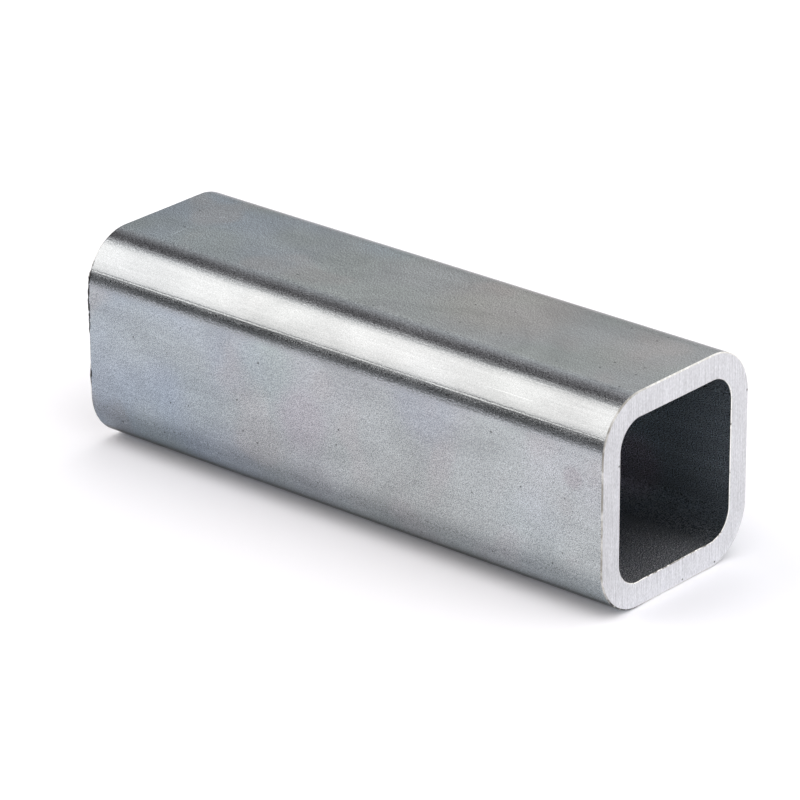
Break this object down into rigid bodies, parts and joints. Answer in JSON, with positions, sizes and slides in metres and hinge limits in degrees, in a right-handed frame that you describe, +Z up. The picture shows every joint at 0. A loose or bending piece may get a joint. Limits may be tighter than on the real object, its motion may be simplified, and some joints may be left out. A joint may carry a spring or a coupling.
{
  "type": "square precision steel tube",
  "caption": "Short sawn length of bright square steel tube with a thick wall, large round corners and an open square bore.",
  "frame": {"origin": "middle of the flat that the tube lies on, half way along its length", "axes": "+X along the tube towards its near end, +Z up"},
  "size_m": [0.148, 0.05, 0.05],
  "materials": {
    "steel": "bright drawn, satin, with lengthwise drawing lines and sawn ends"
  },
  "bodies": {
    "root": {"tube": "steel"}
  },
  "joints": []
}
